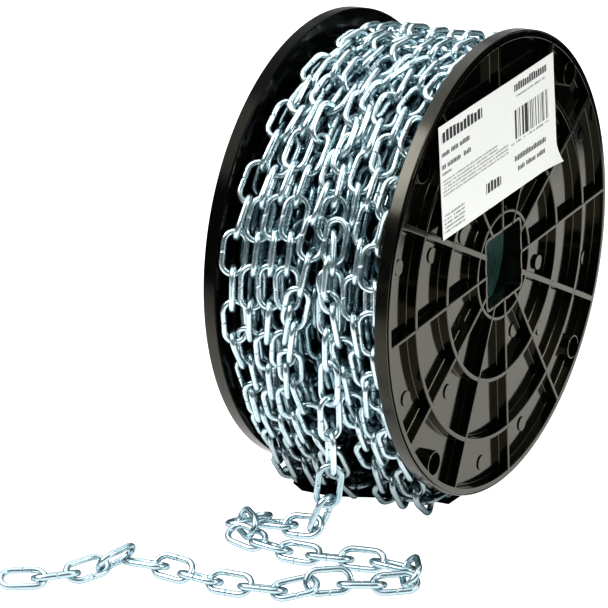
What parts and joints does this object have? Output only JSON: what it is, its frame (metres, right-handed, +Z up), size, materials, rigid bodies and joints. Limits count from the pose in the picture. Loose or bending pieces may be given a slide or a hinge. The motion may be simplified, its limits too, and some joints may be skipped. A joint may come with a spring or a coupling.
{
  "type": "reel of steel chain",
  "caption": "Reel of zinc plated steel chain on a ribbed black plastic spool, with its free end hanging off the front and lying on the floor.",
  "frame": {"origin": "on the floor, at the middle of the whole object's box", "axes": "+X along the reel's axis towards the flange with the label, -Y towards the loose end of the chain, +Z up"},
  "size_m": [0.1493, 0.3068, 0.2031],
  "materials": {
    "black_plastic": "semi-gloss black moulded plastic",
    "zinc_plated_steel": "bright bluish zinc plating",
    "label_paper": "smooth coated paper, unprinted apart from plain bars"
  },
  "bodies": {
    "root": {"flange_right": "black_plastic", "flange_left": "black_plastic", "core_tube": "black_plastic", "label": "label_paper", "wound_chain_core": "zinc_plated_steel", "wound_chain_layer": "zinc_plated_steel", "link_01": "zinc_plated_steel", "link_02": "zinc_plated_steel", "link_03": "zinc_plated_steel", "link_04": "zinc_plated_steel", "link_05": "zinc_plated_steel", "link_06": "zinc_plated_steel", "link_07": "zinc_plated_steel", "link_08": "zinc_plated_steel", "link_09": "zinc_plated_steel", "link_10": "zinc_plated_steel", "link_11": "zinc_plated_steel", "link_12": "zinc_plated_steel", "link_13": "zinc_plated_steel", "link_14": "zinc_plated_steel", "link_15": "zinc_plated_steel", "link_16": "zinc_plated_steel", "link_17": "zinc_plated_steel", "link_18": "zinc_plated_steel", "link_19": "zinc_plated_steel", "link_20": "zinc_plated_steel", "link_21": "zinc_plated_steel", "link_22": "zinc_plated_steel", "link_23": "zinc_plated_steel", "link_24": "zinc_plated_steel", "link_25": "zinc_plated_steel", "link_26": "zinc_plated_steel", "link_27": "zinc_plated_steel", "link_28": "zinc_plated_steel", "link_29": "zinc_plated_steel", "link_30": "zinc_plated_steel", "link_31": "zinc_plated_steel", "link_32": "zinc_plated_steel", "link_33": "zinc_plated_steel"}
  },
  "joints": []
}
